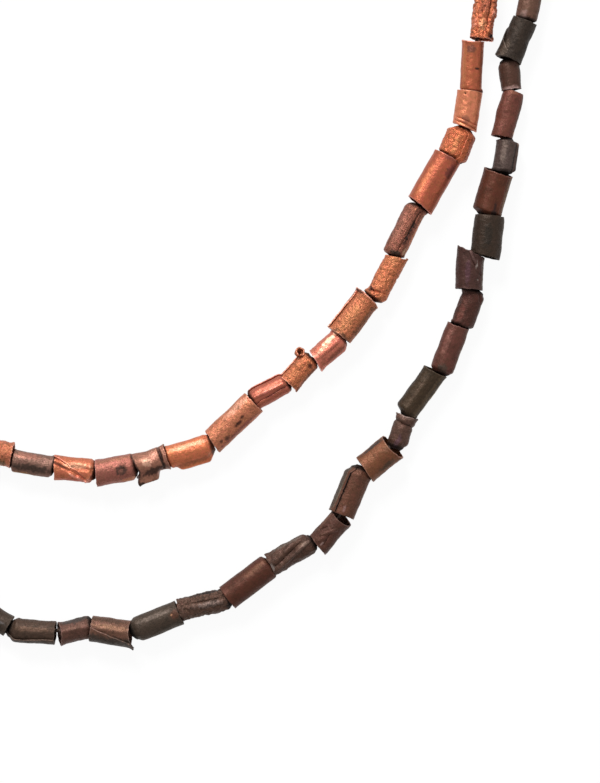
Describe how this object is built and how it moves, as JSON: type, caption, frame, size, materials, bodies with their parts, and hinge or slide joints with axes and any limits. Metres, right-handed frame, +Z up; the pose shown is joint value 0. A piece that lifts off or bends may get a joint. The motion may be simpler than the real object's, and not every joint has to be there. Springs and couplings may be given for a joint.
{
  "type": "beaded necklace",
  "caption": "Two-strand necklace of rolled copper sheet beads, a bright inner strand and a dark outer one, lying flat and closed by a toggle clasp.",
  "frame": {"origin": "on the ground under the middle of the necklace as it lies flat and closed", "axes": "+Z up from the ground, +Y from the lowest beads to the clasp, +X to the wearer's left when worn with the clasp behind"},
  "size_m": [0.1582, 0.1884, 0.0052],
  "materials": {
    "bright_copper": "satin, pickled copper sheet",
    "dark_copper": "dark patinated copper sheet",
    "clasp_copper": "satin, darkened copper",
    "waxed_cord": "waxed linen"
  },
  "bodies": {
    "necklace": {"left_cord_end": "clasp_copper", "right_cord_end": "clasp_copper", "toggle_ring": "clasp_copper", "toggle_tongue": "clasp_copper", "inner_left_beads_1": "bright_copper", "inner_left_beads_2": "bright_copper", "inner_left_beads_3": "bright_copper", "inner_right_beads_1": "bright_copper", "inner_right_beads_2": "bright_copper", "inner_cord": "waxed_cord", "outer_left_beads_1": "dark_copper", "outer_left_beads_2": "dark_copper", "outer_left_beads_3": "dark_copper", "outer_left_beads_4": "dark_copper", "outer_right_beads_1": "dark_copper", "outer_right_beads_2": "dark_copper", "outer_cord": "waxed_cord"},
    "toggle_bar": {"toggle_bar": "clasp_copper"},
    "inner_bead_01": {"inner_bead_01": "bright_copper"},
    "inner_bead_02": {"inner_bead_02": "bright_copper"},
    "inner_bead_03": {"inner_bead_03": "bright_copper"},
    "inner_bead_04": {"inner_bead_04": "bright_copper"},
    "inner_bead_05": {"inner_bead_05": "bright_copper"},
    "inner_bead_06": {"inner_bead_06": "bright_copper"},
    "inner_bead_07": {"inner_bead_07": "bright_copper"},
    "inner_bead_08": {"inner_bead_08": "bright_copper"},
    "inner_bead_09": {"inner_bead_09": "bright_copper"},
    "inner_bead_10": {"inner_bead_10": "bright_copper"},
    "inner_bead_11": {"inner_bead_11": "bright_copper"},
    "inner_bead_12": {"inner_bead_12": "bright_copper"},
    "inner_bead_13": {"inner_bead_13": "bright_copper"},
    "inner_bead_14": {"inner_bead_14": "bright_copper"},
    "inner_bead_15": {"inner_bead_15": "bright_copper"},
    "inner_bead_16": {"inner_bead_16": "bright_copper"},
    "inner_bead_17": {"inner_bead_17": "bright_copper"},
    "inner_bead_18": {"inner_bead_18": "bright_copper"},
    "outer_bead_01": {"outer_bead_01": "dark_copper"},
    "outer_bead_02": {"outer_bead_02": "dark_copper"},
    "outer_bead_03": {"outer_bead_03": "dark_copper"},
    "outer_bead_04": {"outer_bead_04": "dark_copper"},
    "outer_bead_05": {"outer_bead_05": "dark_copper"},
    "outer_bead_06": {"outer_bead_06": "dark_copper"},
    "outer_bead_07": {"outer_bead_07": "dark_copper"},
    "outer_bead_08": {"outer_bead_08": "dark_copper"},
    "outer_bead_09": {"outer_bead_09": "dark_copper"},
    "outer_bead_10": {"outer_bead_10": "dark_copper"},
    "outer_bead_11": {"outer_bead_11": "dark_copper"},
    "outer_bead_12": {"outer_bead_12": "dark_copper"},
    "outer_bead_13": {"outer_bead_13": "dark_copper"},
    "outer_bead_14": {"outer_bead_14": "dark_copper"},
    "outer_bead_15": {"outer_bead_15": "dark_copper"},
    "outer_bead_16": {"outer_bead_16": "dark_copper"},
    "outer_bead_17": {"outer_bead_17": "dark_copper"},
    "outer_bead_18": {"outer_bead_18": "dark_copper"},
    "outer_bead_19": {"outer_bead_19": "dark_copper"},
    "outer_bead_20": {"outer_bead_20": "dark_copper"},
    "outer_bead_21": {"outer_bead_21": "dark_copper"},
    "outer_bead_22": {"outer_bead_22": "dark_copper"},
    "outer_bead_23": {"outer_bead_23": "dark_copper"}
  },
  "joints": [
    {"name": "toggle_bar_swivel", "type": "hinge", "parent": "necklace", "child": "toggle_bar", "pos_m": [0.00041, 0.08704, 0.0035], "axis": [0, 0, 1], "continuous": true},
    {"name": "inner_bead_01_spin", "type": "hinge", "parent": "necklace", "child": "inner_bead_01", "pos_m": [-0.01383, -0.06223, 0.0019], "axis": [0.9854, -0.1702, 0], "continuous": true},
    {"name": "inner_bead_02_spin", "type": "hinge", "parent": "necklace", "child": "inner_bead_02", "pos_m": [-0.0072, -0.06378, 0.00185], "axis": [0.9863, -0.165, 0], "continuous": true},
    {"name": "inner_bead_03_spin", "type": "hinge", "parent": "necklace", "child": "inner_bead_03", "pos_m": [-0.00039, -0.06494, 0.002], "axis": [0.9973, -0.0732, 0], "continuous": true},
    {"name": "inner_bead_04_spin", "type": "hinge", "parent": "necklace", "child": "inner_bead_04", "pos_m": [0.00653, -0.06489, 0.00215], "axis": [0.9851, 0.1719, 0], "continuous": true},
    {"name": "inner_bead_05_spin", "type": "hinge", "parent": "necklace", "child": "inner_bead_05", "pos_m": [0.01258, -0.06366, 0.00225], "axis": [0.9542, 0.299, 0], "continuous": true},
    {"name": "inner_bead_06_spin", "type": "hinge", "parent": "necklace", "child": "inner_bead_06", "pos_m": [0.01861, -0.06188, 0.0019], "axis": [0.9583, 0.2857, 0], "continuous": true},
    {"name": "inner_bead_07_spin", "type": "hinge", "parent": "necklace", "child": "inner_bead_07", "pos_m": [0.02615, -0.05706, 0.002], "axis": [0.7157, 0.6984, 0], "continuous": true},
    {"name": "inner_bead_08_spin", "type": "hinge", "parent": "necklace", "child": "inner_bead_08", "pos_m": [0.0324, -0.05209, 0.0017], "axis": [0.8813, 0.4726, 0], "continuous": true},
    {"name": "inner_bead_09_spin", "type": "hinge", "parent": "necklace", "child": "inner_bead_09", "pos_m": [0.03741, -0.04861, 0.00185], "axis": [0.66, 0.7513, 0], "continuous": true},
    {"name": "inner_bead_10_spin", "type": "hinge", "parent": "necklace", "child": "inner_bead_10", "pos_m": [0.04173, -0.0449, 0.00185], "axis": [0.749, 0.6626, 0], "continuous": true},
    {"name": "inner_bead_11_spin", "type": "hinge", "parent": "necklace", "child": "inner_bead_11", "pos_m": [0.04677, -0.03957, 0.00225], "axis": [0.5934, 0.8049, 0], "continuous": true},
    {"name": "inner_bead_12_spin", "type": "hinge", "parent": "necklace", "child": "inner_bead_12", "pos_m": [0.0513, -0.03284, 0.00165], "axis": [0.4555, 0.8902, 0], "continuous": true},
    {"name": "inner_bead_13_spin", "type": "hinge", "parent": "necklace", "child": "inner_bead_13", "pos_m": [0.05509, -0.02545, 0.00185], "axis": [0.4321, 0.9018, 0], "continuous": true},
    {"name": "inner_bead_14_spin", "type": "hinge", "parent": "necklace", "child": "inner_bead_14", "pos_m": [0.05968, -0.01723, 0.00225], "axis": [0.5, 0.866, 0], "continuous": true},
    {"name": "inner_bead_15_spin", "type": "hinge", "parent": "necklace", "child": "inner_bead_15", "pos_m": [0.06354, -0.01084, 0.00215], "axis": [0.3778, 0.9259, 0], "continuous": true},
    {"name": "inner_bead_16_spin", "type": "hinge", "parent": "necklace", "child": "inner_bead_16", "pos_m": [0.06532, -0.00509, 0.0019], "axis": [0.1271, 0.9919, 0], "continuous": true},
    {"name": "inner_bead_17_spin", "type": "hinge", "parent": "necklace", "child": "inner_bead_17", "pos_m": [0.06637, 0.00245, 0.0017], "axis": [0.0558, 0.9984, 0], "continuous": true},
    {"name": "inner_bead_18_spin", "type": "hinge", "parent": "necklace", "child": "inner_bead_18", "pos_m": [0.06767, 0.01046, 0.00185], "axis": [0.1288, 0.9917, 0], "continuous": true},
    {"name": "outer_bead_01_spin", "type": "hinge", "parent": "necklace", "child": "outer_bead_01", "pos_m": [-0.01434, -0.08919, 0.00185], "axis": [0.866, -0.5, 0], "continuous": true},
    {"name": "outer_bead_02_spin", "type": "hinge", "parent": "necklace", "child": "outer_bead_02", "pos_m": [-0.00713, -0.09176, 0.00185], "axis": [0.9977, -0.068, 0], "continuous": true},
    {"name": "outer_bead_03_spin", "type": "hinge", "parent": "necklace", "child": "outer_bead_03", "pos_m": [-0.00041, -0.0918, 0.0019], "axis": [0.9711, 0.2385, 0], "continuous": true},
    {"name": "outer_bead_04_spin", "type": "hinge", "parent": "necklace", "child": "outer_bead_04", "pos_m": [0.00596, -0.09171, 0.0021], "axis": [0.99, -0.1409, 0], "continuous": true},
    {"name": "outer_bead_05_spin", "type": "hinge", "parent": "necklace", "child": "outer_bead_05", "pos_m": [0.01354, -0.09029, 0.0019], "axis": [0.9259, 0.3778, 0], "continuous": true},
    {"name": "outer_bead_06_spin", "type": "hinge", "parent": "necklace", "child": "outer_bead_06", "pos_m": [0.02104, -0.08759, 0.0017], "axis": [0.9728, 0.2317, 0], "continuous": true},
    {"name": "outer_bead_07_spin", "type": "hinge", "parent": "necklace", "child": "outer_bead_07", "pos_m": [0.02894, -0.08362, 0.00195], "axis": [0.7976, 0.6032, 0], "continuous": true},
    {"name": "outer_bead_08_spin", "type": "hinge", "parent": "necklace", "child": "outer_bead_08", "pos_m": [0.03586, -0.07924, 0.00185], "axis": [0.8616, 0.5075, 0], "continuous": true},
    {"name": "outer_bead_09_spin", "type": "hinge", "parent": "necklace", "child": "outer_bead_09", "pos_m": [0.04206, -0.07493, 0.002], "axis": [0.6587, 0.7524, 0], "continuous": true},
    {"name": "outer_bead_10_spin", "type": "hinge", "parent": "necklace", "child": "outer_bead_10", "pos_m": [0.0462, -0.06893, 0.00215], "axis": [0.3778, 0.9259, 0], "continuous": true},
    {"name": "outer_bead_11_spin", "type": "hinge", "parent": "necklace", "child": "outer_bead_11", "pos_m": [0.05059, -0.06323, 0.0023], "axis": [0.766, 0.6428, 0], "continuous": true},
    {"name": "outer_bead_12_spin", "type": "hinge", "parent": "necklace", "child": "outer_bead_12", "pos_m": [0.0542, -0.05844, 0.00165], "axis": [0.3338, 0.9426, 0], "continuous": true},
    {"name": "outer_bead_13_spin", "type": "hinge", "parent": "necklace", "child": "outer_bead_13", "pos_m": [0.05779, -0.05232, 0.002], "axis": [0.5878, 0.809, 0], "continuous": true},
    {"name": "outer_bead_14_spin", "type": "hinge", "parent": "necklace", "child": "outer_bead_14", "pos_m": [0.06243, -0.04466, 0.0018], "axis": [0.3486, 0.9373, 0], "continuous": true},
    {"name": "outer_bead_15_spin", "type": "hinge", "parent": "necklace", "child": "outer_bead_15", "pos_m": [0.06505, -0.03822, 0.00175], "axis": [0.342, 0.9397, 0], "continuous": true},
    {"name": "outer_bead_16_spin", "type": "hinge", "parent": "necklace", "child": "outer_bead_16", "pos_m": [0.06589, -0.03171, 0.00225], "axis": [0.075, 0.9972, 0], "continuous": true},
    {"name": "outer_bead_17_spin", "type": "hinge", "parent": "necklace", "child": "outer_bead_17", "pos_m": [0.06862, -0.02601, 0.00245], "axis": [0.1097, 0.994, 0], "continuous": true},
    {"name": "outer_bead_18_spin", "type": "hinge", "parent": "necklace", "child": "outer_bead_18", "pos_m": [0.06978, -0.019, 0.0023], "axis": [0.2756, 0.9613, 0], "continuous": true},
    {"name": "outer_bead_19_spin", "type": "hinge", "parent": "necklace", "child": "outer_bead_19", "pos_m": [0.07159, -0.01269, 0.0018], "axis": [0.1495, 0.9888, 0], "continuous": true},
    {"name": "outer_bead_20_spin", "type": "hinge", "parent": "necklace", "child": "outer_bead_20", "pos_m": [0.07224, -0.00597, 0.00175], "axis": [0.2504, 0.9681, 0], "continuous": true},
    {"name": "outer_bead_21_spin", "type": "hinge", "parent": "necklace", "child": "outer_bead_21", "pos_m": [0.07262, 0.0006, 0.00165], "axis": [-0.1149, 0.9934, 0], "continuous": true},
    {"name": "outer_bead_22_spin", "type": "hinge", "parent": "necklace", "child": "outer_bead_22", "pos_m": [0.07373, 0.0068, 0.00215], "axis": [0.3827, 0.9239, 0], "continuous": true},
    {"name": "outer_bead_23_spin", "type": "hinge", "parent": "necklace", "child": "outer_bead_23", "pos_m": [0.07581, 0.01382, 0.00185], "axis": [0.1959, 0.9806, 0], "continuous": true}
  ]
}
